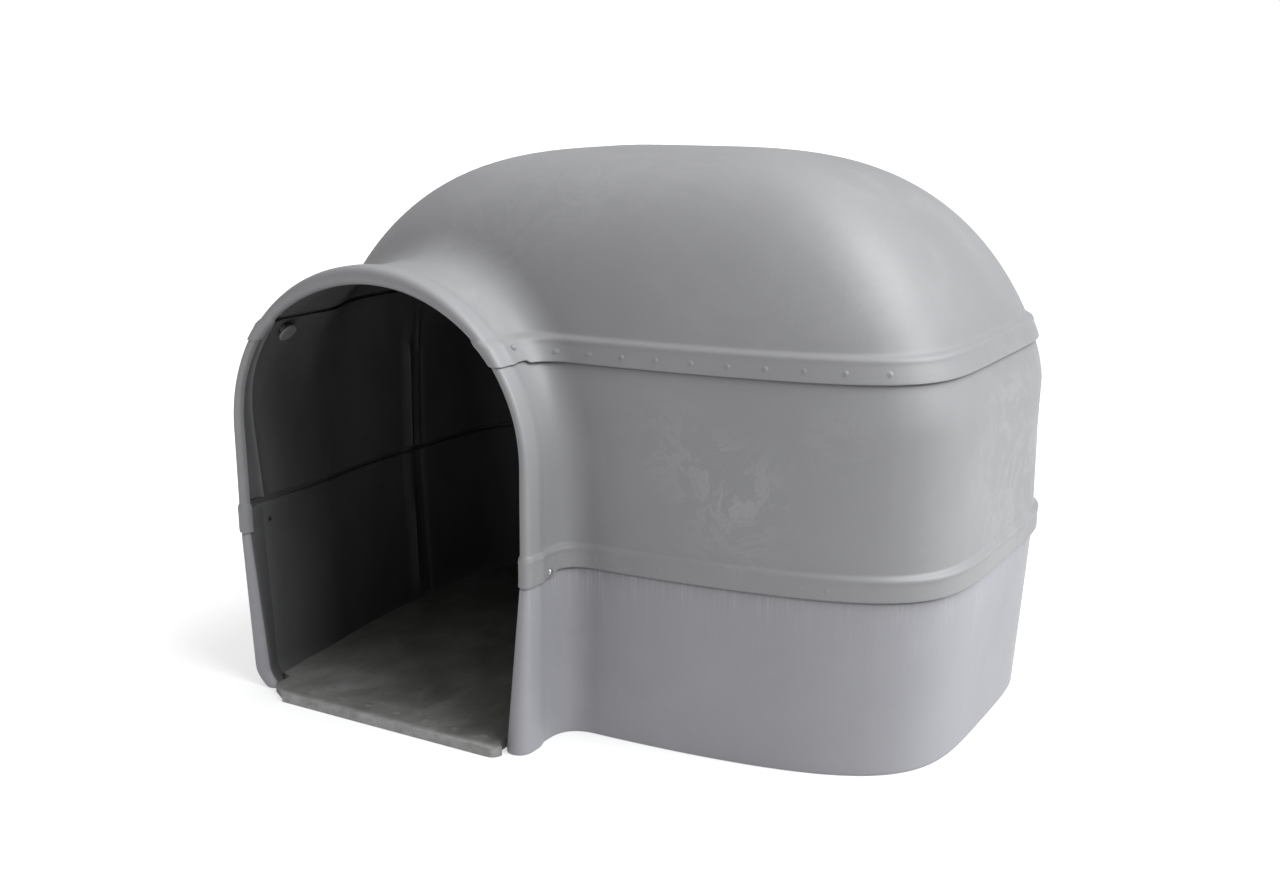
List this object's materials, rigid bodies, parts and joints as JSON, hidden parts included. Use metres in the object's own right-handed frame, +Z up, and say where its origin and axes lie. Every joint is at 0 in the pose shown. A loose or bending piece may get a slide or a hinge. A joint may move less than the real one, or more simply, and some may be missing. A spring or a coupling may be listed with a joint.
{
  "type": "calf hutch",
  "caption": "Free-standing moulded calf hutch: a three-tier domed cabin with lapped bands and an offset arched doorway, standing over a floor tray.",
  "frame": {"origin": "middle of the footprint, on the ground", "axes": "+Z up, the doorway faces -Y, +X to the right of someone facing the doorway"},
  "size_m": [1.6, 1.2104, 1.21],
  "materials": {
    "tray_plastic": "satin grey moulded polyethylene",
    "skirt_plastic": "satin grey moulded polyethylene with fine vertical streaks",
    "cabin_plastic": "satin grey moulded polyethylene with cloudy flow marks",
    "bolt_steel": "bright zinc-plated steel",
    "washer_steel": "bright zinc-plated steel",
    "knob_plastic": "satin grey moulded plastic"
  },
  "bodies": {
    "tray": {"floor_tray": "tray_plastic"},
    "shell": {"lower_shell": "skirt_plastic", "middle_shell": "cabin_plastic", "dome_shell": "cabin_plastic", "lower_screw_right": "bolt_steel", "lower_screw_left": "bolt_steel", "upper_bolt_right": "bolt_steel", "upper_bolt_left": "bolt_steel", "upper_washer_right": "washer_steel", "upper_washer_left": "washer_steel", "upper_knob_right": "knob_plastic", "upper_knob_left": "knob_plastic"}
  },
  "joints": [
    {"name": "shell_lift", "type": "slide", "parent": "tray", "child": "shell", "axis": [0, 0, 1], "range_m": [0, 0.3]}
  ]
}
